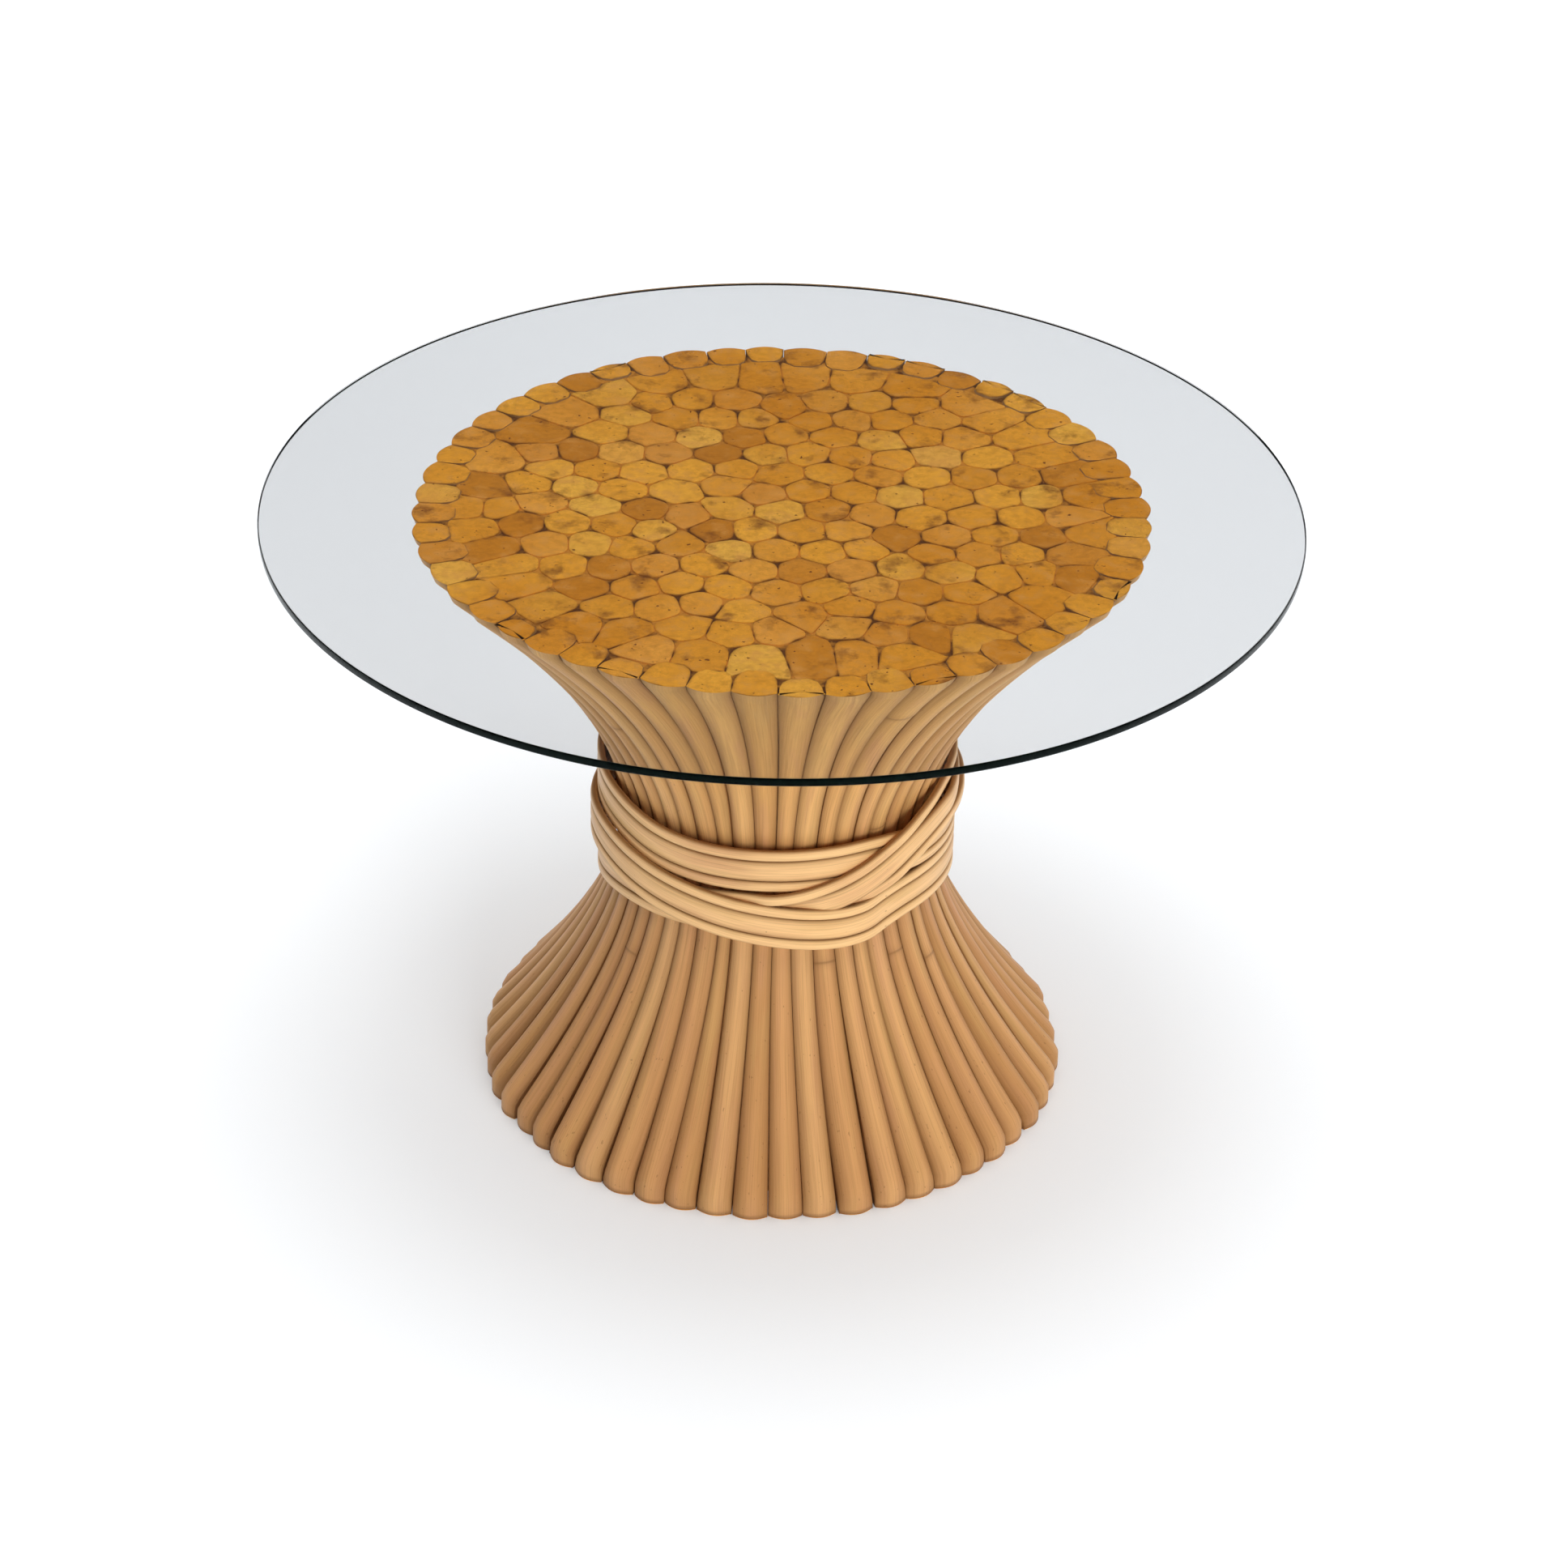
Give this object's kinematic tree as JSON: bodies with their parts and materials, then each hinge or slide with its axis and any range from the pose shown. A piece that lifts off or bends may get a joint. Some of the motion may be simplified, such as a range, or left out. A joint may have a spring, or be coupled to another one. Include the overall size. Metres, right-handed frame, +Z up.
{
  "type": "wheat sheaf coffee table",
  "caption": "Low round table: a clear glass disc lies loose on an hourglass sheaf of bent rattan poles, bound at the waist and paved on top with cut pole ends.",
  "frame": {"origin": "on the floor, on the axis of the sheaf and of the round glass", "axes": "+Z up along the sheaf's axis, -Y towards the front, where the strands of the binding cross"},
  "size_m": [0.762, 0.762, 0.481],
  "materials": {
    "rattan_pole": "clear satin lacquer",
    "rattan_end": "sanded end grain under amber lacquer",
    "rattan_binding": "smooth peel, clear satin lacquer",
    "plywood": "bare sanded wood",
    "glass": "clear float glass, polished rim"
  },
  "bodies": {
    "sheaf": {"base_board": "plywood", "core_post": "plywood", "top_board": "plywood", "pole_01": "rattan_pole", "pole_02": "rattan_pole", "pole_03": "rattan_pole", "pole_04": "rattan_pole", "pole_05": "rattan_pole", "pole_06": "rattan_pole", "pole_07": "rattan_pole", "pole_08": "rattan_pole", "pole_09": "rattan_pole", "pole_10": "rattan_pole", "pole_11": "rattan_pole", "pole_12": "rattan_pole", "pole_13": "rattan_pole", "pole_14": "rattan_pole", "pole_15": "rattan_pole", "pole_16": "rattan_pole", "pole_17": "rattan_pole", "pole_18": "rattan_pole", "pole_19": "rattan_pole", "pole_20": "rattan_pole", "pole_21": "rattan_pole", "pole_22": "rattan_pole", "pole_23": "rattan_pole", "pole_24": "rattan_pole", "pole_25": "rattan_pole", "pole_26": "rattan_pole", "pole_27": "rattan_pole", "pole_28": "rattan_pole", "pole_29": "rattan_pole", "pole_30": "rattan_pole", "pole_31": "rattan_pole", "pole_32": "rattan_pole", "pole_33": "rattan_pole", "pole_34": "rattan_pole", "pole_35": "rattan_pole", "pole_36": "rattan_pole", "pole_37": "rattan_pole", "pole_38": "rattan_pole", "pole_39": "rattan_pole", "pole_40": "rattan_pole", "pole_41": "rattan_pole", "pole_42": "rattan_pole", "pole_43": "rattan_pole", "pole_44": "rattan_pole", "pole_45": "rattan_pole", "pole_46": "rattan_pole", "pole_47": "rattan_pole", "pole_48": "rattan_pole", "pole_49": "rattan_pole", "pole_50": "rattan_pole", "pole_51": "rattan_pole", "pole_52": "rattan_pole", "binding_strand_lower": "rattan_binding", "binding_strand_middle": "rattan_binding", "binding_strand_upper": "rattan_binding", "sliced_top": "rattan_end"},
    "glass": {"glass_top": "glass"}
  },
  "joints": [
    {"name": "glass_lift", "type": "slide", "parent": "sheaf", "child": "glass", "axis": [0, 0, 1], "range_m": [0, 0.1]}
  ]
}
